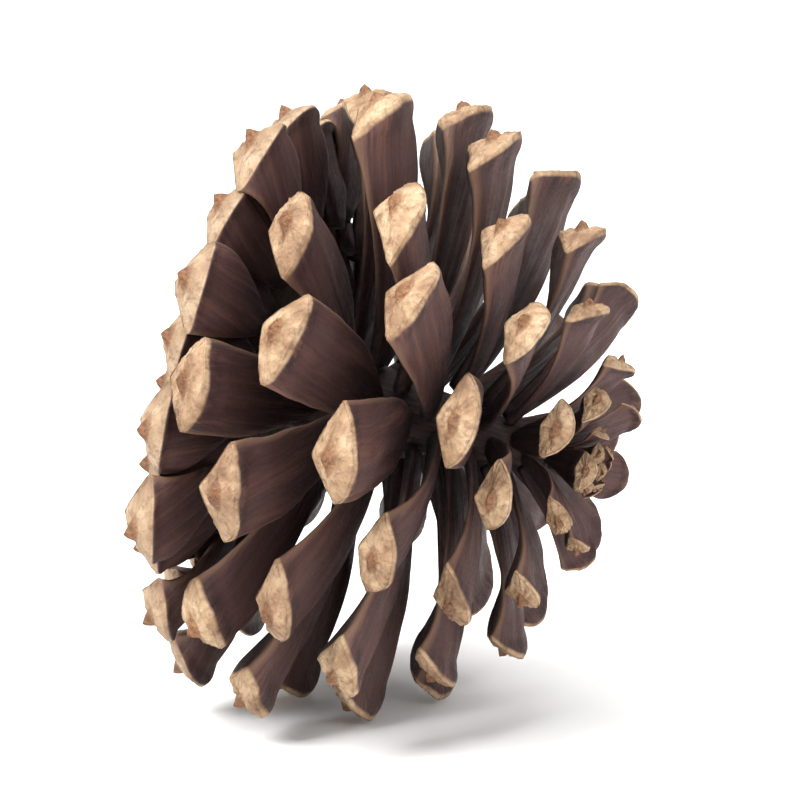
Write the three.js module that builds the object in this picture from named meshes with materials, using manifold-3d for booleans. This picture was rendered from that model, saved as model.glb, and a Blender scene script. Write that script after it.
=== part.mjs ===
// An open pine cone lying on its side. A woody rachis with a stub of stalk carries three kinds of scale:
// small ones packed over the base, open ones in a spiral along its length, and a closed bud of tiny ones
// at its tip. The cone is modelled upright, base down, and then laid on the scales that it rests on.
// Lengths are in millimetres and angles in degrees.
import * as THREE from "three";
import { mergeVertices } from "three/addons/utils/BufferGeometryUtils.js";
import Module from "manifold-3d";

// ---- Driving dimensions ----
const divergence = 137.508; // the turn about the axis from each scale to the next
const openCount = 57;
const packedCount = 64;
const budCount = 8;

const stalk = { radius: 2.6, end: -6.5 };
const rachis = { baseRadius: 3.2, swellRadius: 4.8, swellHeight: 12, tipRadius: 1.5, top: 34 };
const openRoots = { first: 9.6, last: 34.2 }; // heights on the rachis of the first and last open scales
const budRoots = { first: 34.6, last: 36.8 };
const jointGap = 0.3; // the space left between a scale's root and the rachis

const dome = { innerRadius: 6.8, outerRadius: 33.4, innerHeight: -2.6, outerHeight: 2.4 };
const domeCore = { bore: 3.5, radius: 21, bottom: 0.2, top: 5.4 };

// Values that change smoothly along the open scales, from the base of the cone to its tip.
const openAngle = alongCone(98, 90, 80, 66, 42); // between a scale and the cone's axis
const openLength = alongCone(27.6, 29.2, 27, 19.4, 9.4);
const openWidth = alongCone(9.6, 10.4, 9.8, 7.8, 4.4);
const openDepth = alongCone(4.8, 5.1, 4.7, 3.6, 2); // of the apophysis, across its end face
const openLean = alongCone(0.12, 0.4, 0.55, 0.55, 0.55); // set-back of its lower edge, in depths

const bend = 20; // how far a scale curves outwards from its root to its end
const rootWidthShare = 0.3; // of a scale's width
const bladeShare = 0.27; // thickness of the blade, as a share of the apophysis depth
const umboRise = 0.155; // how far the umbo stands out of the end face, as a share of the depth
const endRound = 0.2; // how far the side corners are set back, as a share of the width
const cornerDroop = 0.42; // how far the side corners hang below the seed side, as a share of the depth
const sway = { azimuth: 2, angle: 2.2, roll: 7, length: 0.035 }; // how far the scales stray from the rule

const rest = { roll: 119.94, pitch: 10.43, height: 35.15 }; // how the cone lies
const shortEdge = 0.08; // detail finer than this is smoothed out of the joined solids

// ---- Small helpers ----
const rad = THREE.MathUtils.degToRad;
const lerp = THREE.MathUtils.lerp;

// A smooth function of 0 to 1 through evenly spaced values.
function alongCone(...values) {
  const curve = new THREE.SplineCurve(values.map((value, k) => new THREE.Vector2(k, value)));
  return (t) => curve.getPoint(t).y;
}

// A fixed number from -1 to 1 for each scale and purpose, in place of a random one.
function stray(index, purpose) {
  return Math.sin(index * 12.9898 + purpose * 78.233);
}

// ---- Solids ----
const wasm = await Module();
wasm.setup();

function toSolid(geometry) {
  const bare = geometry.clone();
  bare.deleteAttribute("normal");
  bare.deleteAttribute("uv");
  const merged = mergeVertices(bare, 1e-3);
  return new wasm.Manifold(
    new wasm.Mesh({
      numProp: 3,
      vertProperties: new Float32Array(merged.attributes.position.array),
      triVerts: new Uint32Array(merged.index.array),
    }),
  );
}

function toGeometry(solid) {
  const mesh = solid.getMesh();
  return new THREE.BufferGeometry()
    .setAttribute("position", new THREE.BufferAttribute(new Float32Array(mesh.vertProperties), 3))
    .setIndex(new THREE.BufferAttribute(new Uint32Array(mesh.triVerts), 1));
}

// A solid of revolution about +Z from a profile of [radius, height] pairs.
function turned(profile, sides) {
  const points = profile.map(([radius, height]) => new THREE.Vector2(radius, height));
  return new THREE.LatheGeometry(points, sides).rotateX(Math.PI / 2);
}

// ---- One scale ----
// A scale grows along +X from its root at the origin, with its seed side towards +Z. It is a thin blade
// that widens to a rounded end, where the apophysis makes it thick: the end ring is a rhomb with a corner
// at each side, and its face rises to the umbo. The shape is a closed cylinder, swelled and then bent.
function scaleGeometry({ length, width, depth, lean }, sides, rings) {
  const geometry = new THREE.CylinderGeometry(1, 1, 1, sides, rings);
  const position = geometry.attributes.position;
  const blade = depth * bladeShare;
  const curvature = rad(bend) / length;
  for (let k = 0; k < position.count; k += 1) {
    const across = -position.getX(k);
    const up = position.getZ(k);
    const isCentre = Math.hypot(across, up) < 0.5;
    const along = 1 - (0.5 - position.getY(k)) ** 1.35;
    const swelling = THREE.MathUtils.smoothstep(along, 0.45, 0.95);
    const below = Math.max(0, -up);
    const setBack = endRound * width * across * across + (lean * depth * (1 - up)) / 2;
    let x = length * along - setBack * along ** 3;
    let y = (width / 2) * across * lerp(rootWidthShare, 1, Math.sin((along * Math.PI) / 2) ** 0.9);
    let z = (blade / 2) * up * Math.abs(up) - (depth - blade) * swelling * below ** 3;
    z -= cornerDroop * depth * along ** 4 * across * across;
    if (along === 0) z *= 1.3;
    if (isCentre && along > 0.5) {
      x = length + (umboRise - lean / 2) * depth;
      z = (blade - depth) / 2;
    }
    if (isCentre) y = 0;
    const turn = curvature * x;
    const arcX = Math.sin(turn) / curvature + z * Math.sin(turn);
    const arcZ = (Math.cos(turn) - 1) / curvature + z * Math.cos(turn);
    position.setXYZ(k, arcX, y, arcZ);
  }
  return geometry;
}

// Turns a scale's own frame so that its chord leaves the cone's axis at the given angle.
function aim(object, angle, roll) {
  object.rotation.set(rad(roll), rad(angle - bend / 2 - 90), 0, "YXZ");
}

// ---- Materials ----
const openWood = new THREE.MeshStandardMaterial({ color: 0x6b4a36, roughness: 0.8, metalness: 0 });
const packedWood = new THREE.MeshStandardMaterial({ color: 0xb08f6c, roughness: 0.85, metalness: 0 });
const rachisWood = new THREE.MeshStandardMaterial({ color: 0x3d2a20, roughness: 0.9, metalness: 0 });

// ---- The parts of the cone ----
function rachisRadius(height) {
  const { baseRadius, swellRadius, swellHeight, tipRadius, top } = rachis;
  if (height < swellHeight) return lerp(baseRadius, swellRadius, Math.max(0, height) / swellHeight);
  return lerp(swellRadius, tipRadius, (height - swellHeight) / (top - swellHeight));
}

// The rachis and its stalk as one solid of revolution, fattened by a margin.
function rachisGeometry(margin) {
  const heights = [0, 7, rachis.swellHeight, 20, 28, rachis.top];
  const profile = [
    [0, stalk.end - margin],
    [stalk.radius + margin, stalk.end - margin],
    ...heights.map((height) => [rachisRadius(height) + margin, height]),
    [0, rachis.top],
  ];
  return turned(profile, 14);
}

function makeRachis() {
  const mesh = new THREE.Mesh(rachisGeometry(0), rachisWood);
  mesh.name = "rachis";
  return mesh;
}

// One open scale on its place in the spiral. Its group turns it about the cone's axis.
function makeOpenScale(index) {
  const t = index / (openCount - 1);
  const size = {
    length: openLength(t) * (1 + sway.length * stray(index, 1)),
    width: openWidth(t) * (1 + sway.length * stray(index, 2)),
    depth: openDepth(t),
    lean: openLean(t),
  };
  const mesh = new THREE.Mesh(scaleGeometry(size, 8, 5), openWood);
  mesh.name = `scale_${String(index + 1).padStart(2, "0")}`;
  const height = lerp(openRoots.first, openRoots.last, t);
  mesh.position.set(rachisRadius(height) + jointGap + size.depth * 0.2, 0, height);
  aim(mesh, openAngle(t) + sway.angle * stray(index, 3), sway.roll * stray(index, 4));
  const place = new THREE.Group();
  place.rotation.z = rad(index * divergence + sway.azimuth * stray(index, 5));
  place.add(mesh);
  return place;
}

// The one body worth keeping of a solid that a cut has left with crumbs, without its shortest edges.
function cleaned(solid) {
  const bodies = solid.simplify(shortEdge).decompose();
  return bodies.sort((a, b) => b.volume() - a.volume())[0];
}

// Joins several placed geometries and a core into one solid.
function joined(core, geometries) {
  return geometries.reduce((solid, geometry) => solid.add(toSolid(geometry)), toSolid(core));
}

// The packed scales over the base. Their ends lie on a shallow dome, each one given an equal share of its
// area for its size, and they grow from the stalk outwards.
function makePackedScales() {
  const placed = [];
  for (let k = 0; k < packedCount; k += 1) {
    const t = k / (packedCount - 1);
    const radius = lerp(dome.innerRadius, dome.outerRadius, t ** 0.75);
    const height = lerp(dome.innerHeight, dome.outerHeight, t ** 1.3);
    const size = {
      length: lerp(5, 14.5, t),
      width: lerp(5.6, 10.6, t),
      depth: lerp(4.2, 5.6, t),
      lean: lerp(0.55, 0.15, t),
    };
    const mesh = new THREE.Mesh(scaleGeometry(size, 6, 2));
    const angle = lerp(155, 99, t);
    aim(mesh, angle, 0);
    const reach = size.length * Math.sin(rad(angle));
    const rise = size.length * Math.cos(rad(angle));
    mesh.position.set(radius - reach, 0, height - rise);
    const place = new THREE.Group();
    place.rotation.z = rad((k - packedCount) * divergence);
    place.add(mesh);
    place.updateMatrixWorld(true);
    placed.push(mesh.geometry.applyMatrix4(mesh.matrixWorld));
  }
  const { bore, radius, bottom, top } = domeCore;
  const coreProfile = [[bore, bottom], [radius, bottom + 2], [radius, top - 2.5], [bore, top], [bore, bottom]];
  const core = turned(coreProfile, 20);
  const bored = joined(core, placed).subtract(toSolid(rachisGeometry(jointGap)));
  const mesh = new THREE.Mesh(toGeometry(cleaned(bored)), packedWood);
  mesh.name = "base_scales";
  return mesh;
}

// The closed bud of small scales that ends the cone.
function makeBud() {
  const placed = [];
  for (let k = 0; k < budCount; k += 1) {
    const t = k / (budCount - 1);
    const size = {
      length: lerp(6.2, 4.2, t),
      width: lerp(3.6, 2.2, t),
      depth: lerp(1.6, 1.1, t),
      lean: 0.55,
    };
    const mesh = new THREE.Mesh(scaleGeometry(size, 6, 2));
    aim(mesh, lerp(32, 8, t), 0);
    mesh.position.set(0.7, 0, lerp(budRoots.first, budRoots.last, t));
    const place = new THREE.Group();
    place.rotation.z = rad((openCount + k) * divergence);
    place.add(mesh);
    place.updateMatrixWorld(true);
    placed.push(mesh.geometry.applyMatrix4(mesh.matrixWorld));
  }
  const foot = rachis.top + jointGap;
  const coreProfile = [[0, foot], [rachis.tipRadius, foot], [1, budRoots.last + 1.6], [0, budRoots.last + 2.2]];
  const core = turned(coreProfile, 10);
  const mesh = new THREE.Mesh(toGeometry(cleaned(joined(core, placed))), openWood);
  mesh.name = "tip_scales";
  return mesh;
}

// ---- The whole cone, laid down ----
// Wears flat the end of a scale that reaches below the ground.
function wearFlat(mesh) {
  const toMesh = mesh.matrixWorld.clone().invert();
  const ground = new THREE.Plane(new THREE.Vector3(0, 0, 1), 0).applyMatrix4(toMesh);
  const worn = toSolid(mesh.geometry).trimByPlane(ground.normal.toArray(), -ground.constant);
  mesh.geometry = toGeometry(worn);
}

const cone = new THREE.Group();
cone.add(makeRachis(), makePackedScales(), makeBud());
for (let index = 0; index < openCount; index += 1) cone.add(makeOpenScale(index));
cone.rotation.set(0, rad(90 + rest.pitch), rad(rest.roll), "YZX");
const middle = new THREE.Box3().setFromObject(cone, true).getCenter(new THREE.Vector3());
cone.position.set(-middle.x, -middle.y, rest.height);

const pineCone = new THREE.Group();
pineCone.add(cone);
pineCone.updateMatrixWorld(true);
pineCone.traverse((part) => {
  if (part.isMesh && new THREE.Box3().setFromObject(part, true).min.z < 0) wearFlat(part);
});

export default pineCone;
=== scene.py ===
import math
import bpy
import numpy as np
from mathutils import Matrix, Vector


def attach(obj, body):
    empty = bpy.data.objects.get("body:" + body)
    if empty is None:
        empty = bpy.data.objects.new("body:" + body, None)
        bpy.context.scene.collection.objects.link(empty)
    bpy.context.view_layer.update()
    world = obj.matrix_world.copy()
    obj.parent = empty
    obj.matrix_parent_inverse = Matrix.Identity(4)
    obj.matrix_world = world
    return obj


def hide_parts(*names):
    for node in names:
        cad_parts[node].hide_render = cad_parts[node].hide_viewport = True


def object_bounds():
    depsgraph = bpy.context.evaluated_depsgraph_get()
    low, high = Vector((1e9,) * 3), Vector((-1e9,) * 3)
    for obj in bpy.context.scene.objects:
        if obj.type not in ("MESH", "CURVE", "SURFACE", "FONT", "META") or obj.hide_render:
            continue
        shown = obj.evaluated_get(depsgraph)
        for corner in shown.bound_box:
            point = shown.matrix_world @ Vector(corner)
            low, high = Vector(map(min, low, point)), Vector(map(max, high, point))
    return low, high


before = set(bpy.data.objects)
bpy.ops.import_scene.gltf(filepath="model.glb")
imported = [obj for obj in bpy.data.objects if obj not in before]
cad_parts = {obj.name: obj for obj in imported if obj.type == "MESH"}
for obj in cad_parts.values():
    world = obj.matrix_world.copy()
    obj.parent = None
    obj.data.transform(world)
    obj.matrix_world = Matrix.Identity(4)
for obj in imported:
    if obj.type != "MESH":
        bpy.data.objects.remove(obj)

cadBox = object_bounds()
mm = 0.001

# how the cone lies: degrees about its own axis, degrees towards its tip, and in mm where its base then is
layDown = {
    "roll": 119.94,
    "pitch": 10.43,
    "spot": (-17.28, 0.459, 35.15),
    "lowest": 0.01,         # mm, what reaches below this is worn flat
}

# the spiral that every scale stands on
spiral = {
    "turn": 137.508,
    "openCount": 57,
    "packedCount": 64,
    "budCount": 8,
}


def lerp(a, b, t):
    return a + (b - a) * t


def smoothStep(x, low, high):
    t = np.clip((x - low) / (high - low), 0, 1)
    return t * t * (3 - 2 * t)


def alongCone(*values):  # a smooth run through evenly spaced values, for t from 0 to 1
    def at(t):
        place = (len(values) - 1) * t
        k = min(int(place), len(values) - 1)
        w = place - k
        before = values[max(k - 1, 0)]
        here = values[k]
        after = values[min(k + 1, len(values) - 1)]
        beyond = values[min(k + 2, len(values) - 1)]
        a, b = (after - before) / 2, (beyond - here) / 2
        cubic = 2 * here - 2 * after + a + b
        square = 3 * after - 3 * here - 2 * a - b
        return cubic * w**3 + square * w**2 + a * w + here
    return at


def stray(index, purpose):  # a fixed number from -1 to 1
    return math.sin(index * 12.9898 + purpose * 78.233)


# small helpers for wiring nodes, the same for geometry and for materials

def plug(tree, socket, given):
    if isinstance(given, bpy.types.NodeSocket):
        tree.links.new(given, socket)
    elif given is not None:
        socket.default_value = given


def addNode(tree, kind, *given, output=0, **settings):
    node = tree.nodes.new(kind)
    for key, setting in settings.items():
        setattr(node, key, setting)
    for socket, value in zip([s for s in node.inputs if s.enabled], given):
        plug(tree, socket, value)
    return [s for s in node.outputs if s.enabled][output]


def calc(tree, operation, *given):
    return addNode(tree, "ShaderNodeMath", *given, operation=operation)


def calcVector(tree, operation, *given):
    return addNode(tree, "ShaderNodeVectorMath", *given, operation=operation)


def noise(tree, vector, scale, detail, roughness=0.5, output=0):
    node = tree.nodes.new("ShaderNodeTexNoise")
    plug(tree, node.inputs["Vector"], vector)
    node.inputs["Scale"].default_value = scale
    node.inputs["Detail"].default_value = detail
    node.inputs["Roughness"].default_value = roughness
    return node.outputs[output]


# the shape that every scale starts from
scaleShape = {
    "rootWidth": 0.3,       # of the width
    "blade": 0.27,          # thickness, of the depth of the end face
    "endRound": 0.2,        # how far the side corners are set back, of the width
    "hollow": 0.36,         # mm, the cupped seed side
    "midRib": 0.16,         # mm, between the two seed beds
    "lip": 0.22,            # mm, the raised rim at the end
    "cornerDroop": 0.42,    # how far the side corners hang, of the depth
    "bulge": 0.17,          # how far the face stands out, of its depth
    "boss": 0.42,           # mm, the umbo
    "bossWidth": 0.27,      # of the face
    "edgeRound": 0.3,       # mm, the rounding round the face
    "shorter": 0.5,         # mm, taken off the length for the umbo to fit in
}


def scaleForm(name, length, width, depth, lean, detail, seed):
    # rings of points run from the root to the rim of the end face, then shrink onto its umbo
    around, bodyRings, faceRings = detail
    rng = np.random.default_rng(seed)
    shape = scaleShape
    blade = depth * shape["blade"]
    length = length - shape["shorter"]
    turn = np.arange(around) / around * 2 * math.pi
    c, s = np.cos(turn), np.sin(turn)
    ragged = sum(rng.normal(0, 0.16 / k**0.5) * np.cos(k * turn + rng.uniform(0, 6.28)) for k in range(2, 10))
    lopsided = 1 + rng.normal(0, 0.05) * np.sign(c)
    twist, sweep = rng.normal(0, 0.09), rng.normal(0, 0.35)

    def ring(v):
        halfWidth = width / 2 * lerp(shape["rootWidth"], 1, math.sin(v * math.pi / 2) ** 0.9)
        y = halfWidth * c * lopsided * (1 + 0.03 * ragged * v)
        edge = (1 - np.abs(c) ** 3.5) ** 0.55
        swelling = smoothStep(v, 0.45, 0.97) * (depth - blade)
        thick = blade * (1 + 0.3 * (1 - v) ** 6)
        upper = thick / 2 * edge
        lower = -thick / 2 * edge - swelling * (1 - np.abs(c) ** 1.3)
        z = np.where(s >= 0, upper, lower)
        cup = smoothStep(v, 0.25, 0.6) * (1 - smoothStep(v, 0.88, 0.96))
        bed = -shape["hollow"] * (1 - c * c) + shape["midRib"] * np.exp(-((y / 0.7) ** 2))
        z = z + np.where(s >= 0, bed * cup, 0)
        lip = smoothStep(v, 0.9, 0.97) * (1 - smoothStep(v, 0.975, 1.0))
        z = z + np.where(s >= 0, shape["lip"] * lip * edge, 0)
        z = z - shape["cornerDroop"] * depth * v**4 * c * c
        setBack = shape["endRound"] * width * c * c + lean * depth * (1 - s) / 2
        x = length * v - (setBack + 0.35 * ragged) * v**3
        return np.stack([x, y, z], axis=1)

    bodySteps = 1 - (1 - np.linspace(0, 1, bodyRings)) ** 1.3
    rows = [ring(v) for v in bodySteps]
    rim = rows[-1]
    middle = np.array([length - lean * depth / 2, 0, (blade - depth) / 2])
    outwards = np.array([1, 0, -lean]) / math.hypot(1, lean)
    crisp = lerp(1.15, 2.6, np.abs(c) ** 6)  # low beside the keel, which runs from side to side
    rho = []
    for k in range(1, faceRings):
        r = 1 - (k / faceRings) ** 1.35
        into = min((1 - r) / 0.1, 1)
        height = shape["bulge"] * depth * (1 - r**crisp)
        height = height - shape["edgeRound"] * (1 - math.sqrt(1 - (1 - into) ** 2))
        if r < shape["bossWidth"]:
            height = height + shape["boss"] * (1 - (r / shape["bossWidth"]) ** 2) ** 1.5
        height = height - 0.2 * math.exp(-(((r - shape["bossWidth"] - 0.05) / 0.07) ** 2))
        height = height + 0.05 * ragged * r * (1 - r) * 4
        rows.append(middle + r * (rim - middle) + height[:, None] * outwards)
        rho.append(r)
    peak = middle + (shape["bulge"] * depth + shape["boss"] + 0.1) * outwards
    points = np.concatenate(rows + [[(rows[0][:, 0].mean(), 0, 0)], [peak]])
    rings = len(rows)
    quads = []
    for k in range(rings - 1):
        for j in range(around):
            n = (j + 1) % around
            quads.append((k * around + j, (k + 1) * around + j, (k + 1) * around + n, k * around + n))
    rootPoint, peakPoint = len(points) - 2, len(points) - 1
    last = (rings - 1) * around
    for j in range(around):
        n = (j + 1) % around
        quads.append((rootPoint, j, n))
        quads.append((last + j, peakPoint, last + n))
    grain = points.copy()
    swing = twist * points[:, 0] / length
    y = points[:, 1] * np.cos(swing) - points[:, 2] * np.sin(swing)
    z = points[:, 2] * np.cos(swing) + points[:, 1] * np.sin(swing)
    points[:, 1] = y + sweep * (points[:, 0] / length) ** 2
    points[:, 2] = z
    mesh = bpy.data.meshes.new(name)
    mesh.from_pydata((points * mm).tolist(), [], quads)
    mesh.polygons.foreach_set("use_smooth", [True] * len(mesh.polygons))
    v = np.concatenate([np.repeat(bodySteps, around), np.ones((rings - bodyRings) * around), [0, 1]])
    face = np.concatenate([np.ones(bodyRings * around), np.repeat(rho, around), [1, 0]])
    seedSide = np.concatenate([np.tile((s > 0.02) * 1.0, rings), [0, 0]])
    rimward = np.concatenate([np.tile(np.abs(c), rings), [0, 0]])
    for label, values in (("along", v), ("rho", face), ("seedSide", seedSide), ("rimward", rimward)):
        mesh.attributes.new(label, "FLOAT", "POINT").data.foreach_set("value", values)
    mesh.attributes.new("grain", "FLOAT_VECTOR", "POINT").data.foreach_set("vector", grain.ravel())
    compass = np.concatenate([np.tile(np.stack([c, s, 0 * c], axis=1), (rings, 1)), [[0, 0, 0], [0, 0, 0]]])
    mesh.attributes.new("compass", "FLOAT_VECTOR", "POINT").data.foreach_set("vector", compass.ravel())
    mesh.attributes.new("tone", "FLOAT", "POINT").data.foreach_set("value", [rng.random()] * len(points))
    return mesh


# the node trees give that shape its relief, bend it, set it on the spiral and lay the cone down

def startTree(name, sockets):
    tree = bpy.data.node_groups.new(name, "GeometryNodeTree")
    tree.interface.new_socket("Geometry", in_out="INPUT", socket_type="NodeSocketGeometry")
    for label, kind, value in sockets:
        socket = tree.interface.new_socket(label, in_out="INPUT", socket_type="NodeSocket" + kind)
        if value is not None:
            socket.default_value = value
    tree.interface.new_socket("Geometry", in_out="OUTPUT", socket_type="NodeSocketGeometry")
    inputs = tree.nodes.new("NodeGroupInput")
    outputs = tree.nodes.new("NodeGroupOutput")
    return tree, inputs.outputs, outputs.inputs


def named(tree, label, kind="FLOAT"):
    return addNode(tree, "GeometryNodeInputNamedAttribute", label, data_type=kind)


def move(tree, geometry, offset):
    return addNode(tree, "GeometryNodeSetPosition", geometry, None, None, offset)


def place(tree, geometry, x, y, z):
    spot = addNode(tree, "ShaderNodeCombineXYZ", x, y, z)
    return addNode(tree, "GeometryNodeSetPosition", geometry, None, spot, None)


def whereabouts(tree):
    position = tree.nodes.new("GeometryNodeInputPosition").outputs[0]
    return [addNode(tree, "ShaderNodeSeparateXYZ", position, output=k) for k in range(3)]


def addRelief(tree, geometry, fibre, crust, warp):
    # long fibres on the blade, a cracked crust on the end face, and a slow warp of the whole
    grain = named(tree, "grain", "FLOAT_VECTOR")
    tone = calc(tree, "MULTIPLY", named(tree, "tone"), 60)
    spot = calcVector(tree, "ADD", grain, addNode(tree, "ShaderNodeCombineXYZ", tone, tone, tone))
    rho = named(tree, "rho")
    onFace = addNode(tree, "ShaderNodeMapRange", rho, 0.93, 1.0, 1.0, 0.0)
    offFace = calc(tree, "SUBTRACT", 1, onFace)
    stretched = calcVector(tree, "MULTIPLY", spot, (0.07, 1.5, 0.8))
    lines = calc(tree, "SUBTRACT", noise(tree, stretched, 1, 3, 0.6), 0.5)
    crumbs = calc(tree, "SUBTRACT", noise(tree, spot, 1.1, 4, 0.62), 0.5)
    spokes = calcVector(tree, "MULTIPLY", named(tree, "compass", "FLOAT_VECTOR"), (4, 4, 0))
    outwards = addNode(tree, "ShaderNodeCombineXYZ", tone, 0.0, calc(tree, "MULTIPLY", rho, 1.2))
    folds = calc(tree, "SUBTRACT", noise(tree, calcVector(tree, "ADD", spokes, outwards), 1, 2, 0.55), 0.5)
    roundUmbo = addNode(tree, "ShaderNodeMapRange", rho, 0.2, 0.55, 0.0, 1.0)
    crumbs = calc(tree, "ADD", crumbs, calc(tree, "MULTIPLY", folds, roundUmbo))
    fibreRise = calc(tree, "MULTIPLY", calc(tree, "MULTIPLY", lines, offFace), fibre)
    crustRise = calc(tree, "MULTIPLY", calc(tree, "MULTIPLY", crumbs, onFace), crust)
    rise = calc(tree, "ADD", fibreRise, crustRise)
    normal = tree.nodes.new("GeometryNodeInputNormal").outputs[0]
    geometry = move(tree, geometry, calcVector(tree, "SCALE", normal, rise))
    slow = calcVector(tree, "SUBTRACT", noise(tree, spot, 0.13, 1, 0.4, output=1), (0.5, 0.5, 0.5))
    amount = calc(tree, "MULTIPLY", named(tree, "along"), warp)
    return move(tree, geometry, calcVector(tree, "SCALE", slow, amount))


def addBend(tree, geometry, length, bend):
    # wraps the scale over an arc, so that it curves away from the seed side
    x, y, z = whereabouts(tree)
    curvature = calc(tree, "DIVIDE", bend, length)
    angle = calc(tree, "MULTIPLY", x, curvature)
    sine, cosine = calc(tree, "SINE", angle), calc(tree, "COSINE", angle)
    arcX = calc(tree, "ADD", calc(tree, "DIVIDE", sine, curvature), calc(tree, "MULTIPLY", z, sine))
    drop = calc(tree, "DIVIDE", calc(tree, "SUBTRACT", cosine, 1), curvature)
    arcZ = calc(tree, "ADD", drop, calc(tree, "MULTIPLY", z, cosine))
    return place(tree, geometry, arcX, y, arcZ)


def turned(tree, geometry, angles, shift):
    rotation = addNode(tree, "FunctionNodeEulerToRotation", addNode(tree, "ShaderNodeCombineXYZ", *angles))
    offset = addNode(tree, "ShaderNodeCombineXYZ", *shift)
    return addNode(tree, "GeometryNodeTransform", geometry, offset, rotation)


def addLayDown(tree, geometry):
    x, y, z = [value * mm for value in layDown["spot"]]
    geometry = turned(tree, geometry, (0, 0, math.radians(layDown["roll"])), (0, 0, 0))
    geometry = turned(tree, geometry, (0, math.radians(90 + layDown["pitch"]), 0), (x, y, z))
    x, y, z = whereabouts(tree)
    return place(tree, geometry, x, y, calc(tree, "MAXIMUM", z, layDown["lowest"] * mm))


def finishTree(tree, geometry, material, out):
    geometry = addNode(tree, "GeometryNodeRealizeInstances", geometry)
    plug(tree, out[0], addNode(tree, "GeometryNodeSetMaterial", geometry, None, material))


def makeOpenScaleTree():
    tree, given, out = startTree("open scale", [
        ("Length", "Float", 0.027), ("Bend", "Float", 0.35), ("Fibre relief", "Float", 0.00026),
        ("Crust relief", "Float", 0.00065), ("Warp", "Float", 0.0014), ("Roll", "Float", 0.0),
        ("Lean", "Float", 0.0), ("Standoff", "Float", 0.005), ("Height", "Float", 0.02),
        ("Turn", "Float", 0.0), ("Material", "Material", None)])
    geometry = addRelief(tree, given["Geometry"], given["Fibre relief"], given["Crust relief"], given["Warp"])
    geometry = addBend(tree, geometry, given["Length"], given["Bend"])
    root = (given["Standoff"], 0, given["Height"])
    geometry = turned(tree, geometry, (given["Roll"], given["Lean"], 0), root)
    geometry = turned(tree, geometry, (0, 0, given["Turn"]), (0, 0, 0))
    finishTree(tree, addLayDown(tree, geometry), given["Material"], out)
    return tree


def makeClusterTree():
    # scales set on the spiral between two rims, each as long and wide as its place asks
    tree, given, out = startTree("scale cluster", [
        ("Scale", "Object", None), ("Count", "Int", 64), ("First turn", "Float", 0.0), ("Turn", "Float", 2.4),
        ("Inner radius", "Float", 0.007), ("Outer radius", "Float", 0.03), ("Radius power", "Float", 0.75),
        ("Inner height", "Float", 0.0), ("Outer height", "Float", 0.004), ("Height power", "Float", 1.3),
        ("Inner angle", "Float", 2.7), ("Outer angle", "Float", 1.95), ("Length", "Float", 0.01),
        ("Inner size", "Vector", (0.5, 0.6, 0.9)), ("Outer size", "Vector", (1.3, 1.1, 1.0)),
        ("Bend", "Float", 0.35), ("Fibre relief", "Float", 0.0001), ("Crust relief", "Float", 0.00045),
        ("Seed", "Int", 4), ("Material", "Material", None)])
    index = tree.nodes.new("GeometryNodeInputIndex").outputs[0]
    t = calc(tree, "DIVIDE", index, calc(tree, "SUBTRACT", given["Count"], 1))

    def mix(a, b, weight):
        return calc(tree, "ADD", a, calc(tree, "MULTIPLY", calc(tree, "SUBTRACT", b, a), weight))

    wobble = addNode(tree, "FunctionNodeRandomValue", -1.0, 1.0, None, given["Seed"], data_type="FLOAT")
    radius = mix(given["Inner radius"], given["Outer radius"], calc(tree, "POWER", t, given["Radius power"]))
    height = mix(given["Inner height"], given["Outer height"], calc(tree, "POWER", t, given["Height power"]))
    angle = mix(given["Inner angle"], given["Outer angle"], t)
    angle = calc(tree, "ADD", angle, calc(tree, "MULTIPLY", wobble, 0.05))
    growth = calcVector(tree, "SUBTRACT", given["Outer size"], given["Inner size"])
    size = calcVector(tree, "ADD", given["Inner size"], calcVector(tree, "SCALE", growth, t))
    length = calc(tree, "MULTIPLY", given["Length"], addNode(tree, "ShaderNodeSeparateXYZ", size))
    rootRadius = calc(tree, "SUBTRACT", radius, calc(tree, "MULTIPLY", length, calc(tree, "SINE", angle)))
    rootHeight = calc(tree, "SUBTRACT", height, calc(tree, "MULTIPLY", length, calc(tree, "COSINE", angle)))
    turn = calc(tree, "ADD", given["First turn"], calc(tree, "MULTIPLY", index, given["Turn"]))
    rootX = calc(tree, "MULTIPLY", rootRadius, calc(tree, "COSINE", turn))
    rootY = calc(tree, "MULTIPLY", rootRadius, calc(tree, "SINE", turn))
    spot = addNode(tree, "ShaderNodeCombineXYZ", rootX, rootY, rootHeight)
    points = addNode(tree, "GeometryNodePoints", given["Count"], spot)
    chord = calc(tree, "ADD", calc(tree, "MULTIPLY", given["Bend"], 0.5), math.pi / 2)
    lean = calc(tree, "SUBTRACT", angle, chord)
    facing = addNode(tree, "FunctionNodeEulerToRotation",
                     addNode(tree, "ShaderNodeCombineXYZ", calc(tree, "MULTIPLY", wobble, 0.12), lean, turn))
    source = addNode(tree, "GeometryNodeObjectInfo", given["Scale"], output=4)
    source = addBend(tree, source, given["Length"], given["Bend"])
    setOut = tree.nodes.new("GeometryNodeInstanceOnPoints")
    for label, value in (("Points", points), ("Instance", source), ("Rotation", facing), ("Scale", size)):
        plug(tree, setOut.inputs[label], value)
    copies = setOut.outputs[0]
    tone = addNode(tree, "FunctionNodeRandomValue", 0.0, 1.0, None, given["Seed"], data_type="FLOAT")
    copies = addNode(tree, "GeometryNodeStoreNamedAttribute", copies, None, "tone", tone,
                     data_type="FLOAT", domain="INSTANCE")
    grown = addNode(tree, "GeometryNodeRealizeInstances", copies)
    join = tree.nodes.new("GeometryNodeJoinGeometry")
    tree.links.new(given["Geometry"], join.inputs[0])
    tree.links.new(grown, join.inputs[0])
    geometry = addRelief(tree, join.outputs[0], given["Fibre relief"], given["Crust relief"], 0.0003)
    finishTree(tree, addLayDown(tree, geometry), given["Material"], out)
    return tree


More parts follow.
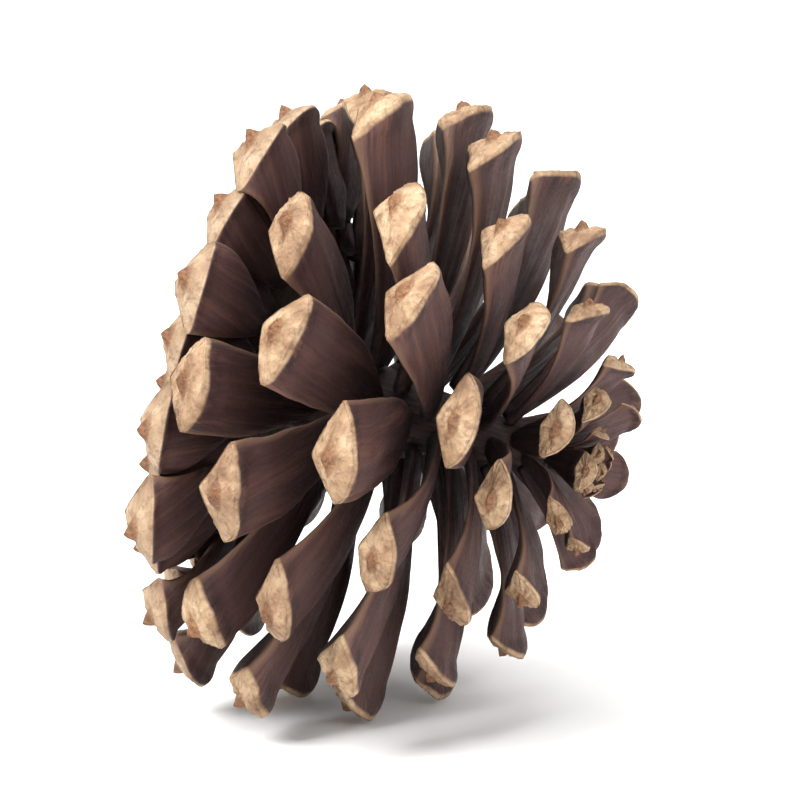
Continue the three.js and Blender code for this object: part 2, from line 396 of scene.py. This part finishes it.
def makeRachisTree():
    tree, given, out = startTree("rachis", [
        ("Fibre relief", "Float", 0.0004), ("Crust relief", "Float", 0.0), ("Material", "Material", None)])
    geometry = addRelief(tree, given["Geometry"], given["Fibre relief"], given["Crust relief"], 0.0)
    finishTree(tree, addLayDown(tree, geometry), given["Material"], out)
    return tree


def grow(name, mesh, tree, settings):
    # runs the tree on the mesh and keeps the result as a plain mesh
    piece = bpy.data.objects.new(name, mesh)
    bpy.context.collection.objects.link(piece)
    modifier = piece.modifiers.new("grow", "NODES")
    modifier.node_group = tree
    for item in tree.interface.items_tree:
        if item.in_out == "INPUT" and item.name in settings:
            modifier[item.identifier] = settings[item.name]
    bpy.context.view_layer.update()
    shaped = bpy.data.meshes.new_from_object(piece.evaluated_get(bpy.context.evaluated_depsgraph_get()))
    piece.modifiers.remove(modifier)
    piece.data = shaped
    shaped.name = name
    shaped.materials.clear()
    shaped.materials.append(settings["Material"])
    shaped.polygons.foreach_set("material_index", [0] * len(shaped.polygons))
    bpy.data.meshes.remove(mesh)
    return piece


def ramp(tree, factor, *stops):
    node = tree.nodes.new("ShaderNodeValToRGB")
    plug(tree, node.inputs[0], factor)
    elements = node.color_ramp.elements
    while len(elements) < len(stops):
        elements.new(0.5)
    for element, (position, color) in zip(elements, stops):
        element.position = position
        element.color = (*color, 1) if len(color) == 3 else color
    return node.outputs[0]


def blend(tree, factor, a, b, mode="MIX"):
    node = tree.nodes.new("ShaderNodeMix")
    node.data_type = "RGBA"
    node.blend_type = mode
    plug(tree, node.inputs["Factor"], factor)
    plug(tree, node.inputs[6], (*a, 1) if isinstance(a, tuple) else a)
    plug(tree, node.inputs[7], (*b, 1) if isinstance(b, tuple) else b)
    return node.outputs[2]


def spread(tree, value, low, high, toLow=0.0, toHigh=1.0):
    return addNode(tree, "ShaderNodeMapRange", value, low, high, toLow, toHigh)


def attribute(tree, label, output):
    node = tree.nodes.new("ShaderNodeAttribute")
    node.attribute_name = label
    return node.outputs[output]


def makeScaleWood(name, look):
    material = bpy.data.materials.new(name)
    material.use_nodes = True
    tree = material.node_tree
    shader = tree.nodes["Principled BSDF"]
    along, rho, seedSide, rimward, tone = [attribute(tree, label, "Fac")
                                           for label in ("along", "rho", "seedSide", "rimward", "tone")]
    grain = attribute(tree, "grain", "Vector")
    shift = calc(tree, "MULTIPLY", tone, 60)
    spot = calcVector(tree, "ADD", grain, addNode(tree, "ShaderNodeCombineXYZ", shift, shift, shift))
    fibre = noise(tree, calcVector(tree, "MULTIPLY", spot, (0.09, 2.4, 2.4)), 1, 4, 0.6)
    broad = noise(tree, calcVector(tree, "MULTIPLY", spot, (0.05, 0.5, 0.5)), 1, 2, 0.5)
    blotch = noise(tree, spot, 0.32, 3, 0.55)
    speckle = noise(tree, spot, 3.2, 3, 0.65)
    crumb = noise(tree, spot, 1.1, 4, 0.62)
    # wrinkles that run out from the umbo
    spokes = calcVector(tree, "MULTIPLY", attribute(tree, "compass", "Vector"), (7, 7, 0))
    outwards = addNode(tree, "ShaderNodeCombineXYZ", shift, 0.0, calc(tree, "MULTIPLY", rho, 2.2))
    wrinkle = noise(tree, calcVector(tree, "ADD", spokes, outwards), 1, 3, 0.6)

    under = ramp(tree, fibre, (0.3, look["underDark"]), (0.7, look["underLight"]))
    # the seed side: its own dark purple brown, darkened by about half more as painted shade of the cone's
    # inner hollows
    seedFace = ramp(tree, spread(tree, calc(tree, "ADD", fibre, broad), 0.7, 1.3), (0.0, look["seedDark"]),
                    (0.55, look["seedMid"]), (1.0, look["seedLight"]))
    bedMask = calc(tree, "MULTIPLY", spread(tree, along, 0.35, 0.6), spread(tree, along, 0.95, 0.86))
    seedFace = blend(tree, calc(tree, "MULTIPLY", bedMask, 0.45), seedFace, look["seedBed"])
    body = blend(tree, seedSide, under, seedFace)
    edgeMask = calc(tree, "MULTIPLY", spread(tree, rimward, 0.9, 0.99), spread(tree, along, 0.25, 0.7))
    body = blend(tree, calc(tree, "MULTIPLY", edgeMask, 0.55), body, look["edge"])
    # painted shade: each scale darkens to near black towards its root, deep inside the cone where shade falls
    body = blend(tree, spread(tree, along, 0.3, 0.0, 0.0, 0.6), body, look["root"])

    face = ramp(tree, blotch, (0.3, look["faceDark"]), (0.5, look["faceMid"]), (0.68, look["faceLight"]))
    face = blend(tree, spread(tree, crumb, 0.5, 0.3, 0.0, 0.75), face, look["faceCrack"])
    face = blend(tree, spread(tree, wrinkle, 0.5, 0.3, 0.0, 0.6), face, look["faceDark"])
    face = blend(tree, spread(tree, speckle, 0.62, 0.75, 0.0, 0.5), face, look["faceBloom"])
    umbo = ramp(tree, speckle, (0.35, look["umboDark"]), (0.65, look["umboLight"]))
    raggedRho = calc(tree, "ADD", rho, calc(tree, "MULTIPLY", crumb, 0.25))
    face = blend(tree, spread(tree, raggedRho, 0.56, 0.34, 0.0, 0.9), face, umbo)
    onFace = spread(tree, rho, 1.0, 0.995)
    brim = spread(tree, calc(tree, "ADD", along, calc(tree, "MULTIPLY", blotch, 0.03)), 0.985, 1.0)
    color = blend(tree, calc(tree, "MAXIMUM", onFace, brim), body, face)
    shade = ramp(tree, tone, (0.0, look["toneLow"]), (1.0, look["toneHigh"]))
    plug(tree, shader.inputs["Base Color"], blend(tree, 1.0, color, shade, "MULTIPLY"))
    roughness = spread(tree, calc(tree, "ADD", speckle, blotch), 0.7, 1.3, *look["roughness"])
    plug(tree, shader.inputs["Roughness"], roughness)
    shader.inputs["Specular IOR Level"].default_value = look["specular"]

    lines = calc(tree, "MULTIPLY", fibre, spread(tree, rho, 0.97, 1.0))
    rough = calc(tree, "ADD", calc(tree, "ADD", speckle, wrinkle), calc(tree, "MULTIPLY", crumb, 1.5))
    crust = calc(tree, "MULTIPLY", rough, spread(tree, rho, 1.0, 0.97))
    bump = tree.nodes.new("ShaderNodeBump")
    bump.inputs["Strength"].default_value = look["bump"]
    bump.inputs["Distance"].default_value = 0.00025
    plug(tree, bump.inputs["Height"], calc(tree, "ADD", lines, crust))
    plug(tree, shader.inputs["Normal"], bump.outputs[0])
    return material


# colours of the scales: under side, seed side, and the crusted face with its umbo
openLook = {
    "underDark": (0.010, 0.0055, 0.0055), "underLight": (0.050, 0.028, 0.024),
    # seedDark, seedMid and seedLight: the seed side's own dark brown, darkened by about half as painted shade
    "seedDark": (0.020, 0.0085, 0.0085), "seedMid": (0.050, 0.0205, 0.0185),
    "seedLight": (0.125, 0.055, 0.040),
    # root is painted shade: the near black that each scale darkens to at its root inside the cone
    "seedBed": (0.082, 0.036, 0.031), "edge": (0.21, 0.115, 0.068), "root": (0.014, 0.008, 0.007),
    "faceDark": (0.22, 0.120, 0.062), "faceMid": (0.39, 0.255, 0.145), "faceLight": (0.53, 0.385, 0.24),
    "faceCrack": (0.12, 0.058, 0.028), "faceBloom": (0.56, 0.46, 0.34),
    "umboDark": (0.085, 0.033, 0.015), "umboLight": (0.31, 0.135, 0.05),
    "toneLow": (0.74, 0.69, 0.67), "toneHigh": (1.0, 1.0, 1.0),
    "roughness": (0.48, 0.85), "specular": 0.38, "bump": 0.75,
}
packedLook = dict(openLook, underDark=(0.035, 0.019, 0.013), underLight=(0.12, 0.070, 0.045),
                  faceDark=(0.25, 0.155, 0.09), faceMid=(0.40, 0.28, 0.17), faceLight=(0.52, 0.40, 0.27))
rachisLook = dict(openLook, underDark=(0.016, 0.009, 0.008), underLight=(0.07, 0.038, 0.027))

openWood = makeScaleWood("open scale wood", openLook)
packedWood = makeScaleWood("packed scale wood", packedLook)
rachisWood = makeScaleWood("rachis wood", rachisLook)
print("materials made")


# the open scales: values in mm and degrees, from the base of the cone to its tip
openScales = {
    "angle": alongCone(98, 90, 80, 66, 42),
    "length": alongCone(27.6, 29.2, 27, 19.4, 9.4),
    "width": alongCone(9.6, 10.4, 9.8, 7.8, 4.4),
    "depth": alongCone(4.8, 5.1, 4.7, 3.6, 2),
    "lean": alongCone(0.12, 0.4, 0.55, 0.55, 0.55),  # set-back of the lower edge of the face, in depths
    "roots": (9.6, 34.2),
    "bend": 20,
    "sway": {"turn": 2, "angle": 2.2, "roll": 7, "length": 0.035},
    "sunk": 0.6,            # mm, how far a root runs into the rachis
    "detail": (96, 46, 20),
}


# the rachis: mm, swelling above the base and thinning to the tip, with the outline of its stalk
rachisForm = {
    "baseRadius": 3.2, "swellRadius": 4.8, "swellHeight": 12, "tipRadius": 1.5, "top": 34,
    "gap": 0.3,             # what the plain model leaves between it and a root
    "outline": [(0, -6.2), (2.1, -6.4), (2.5, -5.8), (2.7, -1), (3.2, 0), (4.1, 7), (4.8, 12), (3.6, 20),
                (2.4, 28), (1.5, 33.8), (0, 34)],
}


def rachisRadius(height):
    form = rachisForm
    if height < form["swellHeight"]:
        return lerp(form["baseRadius"], form["swellRadius"], max(0, height) / form["swellHeight"])
    above = (height - form["swellHeight"]) / (form["top"] - form["swellHeight"])
    return lerp(form["swellRadius"], form["tipRadius"], above)


openTree = makeOpenScaleTree()
for index in range(spiral["openCount"]):
    t = index / (spiral["openCount"] - 1)
    sway = openScales["sway"]
    length = openScales["length"](t) * (1 + sway["length"] * stray(index, 1))
    width = openScales["width"](t) * (1 + sway["length"] * stray(index, 2))
    depth = openScales["depth"](t)
    height = lerp(*openScales["roots"], t)
    angle = openScales["angle"](t) + sway["angle"] * stray(index, 3)
    name = f"openScale{index + 1:02d}"
    lean = openScales["lean"](t)
    mesh = scaleForm(name, length, width, depth, lean, openScales["detail"], seed=index + 11)
    piece = grow(name, mesh, openTree, {
        "Length": length * mm,
        "Bend": math.radians(openScales["bend"]),
        "Roll": math.radians(sway["roll"] * stray(index, 4)),
        "Lean": math.radians(angle - openScales["bend"] / 2 - 90),
        "Standoff": (rachisRadius(height) + rachisForm["gap"] + depth * 0.2 - openScales["sunk"]) * mm,
        "Height": height * mm,
        "Turn": math.radians(index * spiral["turn"] + sway["turn"] * stray(index, 5)),
        "Material": openWood,
    })
    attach(piece, "root")
    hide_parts(f"scale_{index + 1:02d}")
print("open scales grown:", spiral["openCount"])


def turnedForm(name, profile, sides, rings):
    # a closed solid of revolution, its profile given as (radius, height) pairs from the bottom to the top
    lengths = [0]
    for a, b in zip(profile, profile[1:]):
        lengths.append(lengths[-1] + math.dist(a, b))
    places = np.unique(np.concatenate([np.linspace(0, lengths[-1], rings), lengths]))
    radii = np.interp(places, lengths, [p[0] for p in profile])
    heights = np.interp(places, lengths, [p[1] for p in profile])
    keep = radii > 1e-6
    radii, heights = radii[keep], heights[keep]
    turn = np.arange(sides) / sides * 2 * math.pi
    points = [(r * math.cos(a), r * math.sin(a), h) for r, h in zip(radii, heights) for a in turn]
    points += [(0, 0, profile[0][1]), (0, 0, profile[-1][1])]
    faces = []
    for k in range(len(radii) - 1):
        for j in range(sides):
            n = (j + 1) % sides
            faces.append((k * sides + j, k * sides + n, (k + 1) * sides + n, (k + 1) * sides + j))
    last = (len(radii) - 1) * sides
    for j in range(sides):
        n = (j + 1) % sides
        faces.append((len(points) - 2, n, j))
        faces.append((len(points) - 1, last + j, last + n))
    mesh = bpy.data.meshes.new(name)
    mesh.from_pydata([tuple(v * mm for v in p) for p in points], [], faces)
    mesh.polygons.foreach_set("use_smooth", [True] * len(mesh.polygons))
    count = len(points)
    for label, value in (("along", 0.5), ("rho", 1.0), ("seedSide", 0.0), ("rimward", 0.0), ("tone", 0.3)):
        mesh.attributes.new(label, "FLOAT", "POINT").data.foreach_set("value", [value] * count)
    around = [(p[2], math.atan2(p[1], p[0]) * 4, math.hypot(p[0], p[1])) for p in points]
    mesh.attributes.new("grain", "FLOAT_VECTOR", "POINT").data.foreach_set("vector", np.ravel(around))
    mesh.attributes.new("compass", "FLOAT_VECTOR", "POINT")
    return mesh


rachisMesh = turnedForm("rachis", rachisForm["outline"], 64, 120)
rachis = grow("rachis", rachisMesh, makeRachisTree(), {"Material": rachisWood})
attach(rachis, "root")
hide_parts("rachis")
print("rachis turned")


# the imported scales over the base, and the bud of small ones at the tip: mm and degrees, with the sizes of
# the innermost and outermost scale as shares of the length, width and depth given first
packedScales = {
    "length": 9, "width": 8, "depth": 4.6, "lean": 0.3, "detail": (44, 12, 14),
    "radii": (6.8, 33.4), "heights": (-2.6, 2.4), "angles": (155, 99),
    "radiusPower": 0.75, "heightPower": 1.3,
    "innerSize": (5 / 9, 5.6 / 8, 4.2 / 4.6), "outerSize": (14.5 / 9, 10.6 / 8, 5.6 / 4.6),
    "core": [(3.3, 0.6), (19, 2.2), (21, 2.2), (21, 2.9), (3.3, 5.4)],
}
budScales = {
    "length": 5.5, "width": 3, "depth": 1.4, "lean": 0.55, "detail": (60, 26, 14),
    "radii": (3.99, 1.28), "heights": (39.86, 40.96), "angles": (32, 8),
    "radiusPower": 1.0, "heightPower": 1.0,
    "innerSize": (6.2 / 5.5, 3.6 / 3, 1.6 / 1.4), "outerSize": (4.2 / 5.5, 2.2 / 3, 1.1 / 1.4),
    "core": [(0, 34.3), (1.5, 34.3), (1.0, 38.4), (0, 39)],
}


def pattern(name, sizes, seed):  # the scale that a cluster repeats; it is removed afterwards
    middling = [sizes[label] for label in ("length", "width", "depth", "lean", "detail")]
    mesh = scaleForm(name, *middling, seed)
    single = bpy.data.objects.new(name, mesh)
    bpy.context.collection.objects.link(single)
    return single


def makeCluster(name, sizes, single, core, count, firstPlace, material):
    return grow(name, core, clusterTree, {
        "Scale": single, "Count": count, "Material": material,
        "First turn": math.radians(firstPlace * spiral["turn"]), "Turn": math.radians(spiral["turn"]),
        "Inner radius": sizes["radii"][0] * mm, "Outer radius": sizes["radii"][1] * mm,
        "Inner height": sizes["heights"][0] * mm, "Outer height": sizes["heights"][1] * mm,
        "Inner angle": math.radians(sizes["angles"][0]), "Outer angle": math.radians(sizes["angles"][1]),
        "Radius power": sizes["radiusPower"], "Height power": sizes["heightPower"],
        "Length": sizes["length"] * mm, "Inner size": sizes["innerSize"], "Outer size": sizes["outerSize"],
        "Bend": math.radians(openScales["bend"])})


clusterTree = makeClusterTree()
packedPattern = pattern("packedPattern", packedScales, 3)
packedCore = turnedForm("core", packedScales["core"], 48, 20)
base = makeCluster("packedScales", packedScales, packedPattern, packedCore,
                   spiral["packedCount"], -spiral["packedCount"], packedWood)
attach(base, "root")
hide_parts("base_scales")

budPattern = pattern("budPattern", budScales, 5)
budCore = turnedForm("core", budScales["core"], 24, 12)
bud = makeCluster("tipScales", budScales, budPattern, budCore,
                  spiral["budCount"], spiral["openCount"], openWood)
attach(bud, "root")
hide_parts("tip_scales")
for single in (packedPattern, budPattern):
    bpy.data.objects.remove(single)
print("base and tip grown")


# floor, light and camera
studio = {
    "floor": (0.86, 0.855, 0.85),
    "lights": [             # name, place and size in m, watts
        ("key", (-0.35, -0.45, 0.6), 0.4, 11.5),
        ("fill", (0.55, -0.35, 0.3), 0.5, 3.2),
        ("top", (0.05, 0.2, 0.75), 0.7, 6.0),
    ],
    "sky": 0.55,
    "azimuth": 20,
    "elevation": 12,
    "distance": 0.55,
    "lens": 240,
}

bpy.ops.mesh.primitive_plane_add(size=6, location=(0, 0, 0))
floor = bpy.context.object
floor.name = "floor"
paper = bpy.data.materials.new("pale paper")
paper.use_nodes = True
paper.node_tree.nodes["Principled BSDF"].inputs["Base Color"].default_value = (*studio["floor"], 1)
paper.node_tree.nodes["Principled BSDF"].inputs["Roughness"].default_value = 0.8
floor.data.materials.append(paper)

aim = Vector(np.mean([list(corner) for corner in cadBox], axis=0))
for name, spot, size, watts in studio["lights"]:
    lamp = bpy.data.lights.new(name, "AREA")
    lamp.size = size
    lamp.energy = watts
    holder = bpy.data.objects.new(name, lamp)
    bpy.context.collection.objects.link(holder)
    holder.location = spot
    holder.rotation_euler = (aim - Vector(spot)).to_track_quat("-Z", "Y").to_euler()

sky = bpy.data.worlds.new("sky")
bpy.context.scene.world = sky
sky.use_nodes = True
sky.node_tree.nodes["Background"].inputs["Color"].default_value = (1, 1, 1, 1)
sky.node_tree.nodes["Background"].inputs["Strength"].default_value = studio["sky"]
bpy.context.scene.view_settings.view_transform = "Standard"

around, above = math.radians(studio["azimuth"]), math.radians(studio["elevation"])
away = Vector((math.sin(around) * math.cos(above), -math.cos(around) * math.cos(above), math.sin(above)))
view = bpy.data.cameras.new("view")
view.lens = studio["lens"]
camera = bpy.data.objects.new("view", view)
bpy.context.collection.objects.link(camera)
camera.location = aim + away * studio["distance"]
camera.rotation_euler = (-away).to_track_quat("-Z", "Y").to_euler()
view.clip_start = 0.01
bpy.context.scene.camera = camera
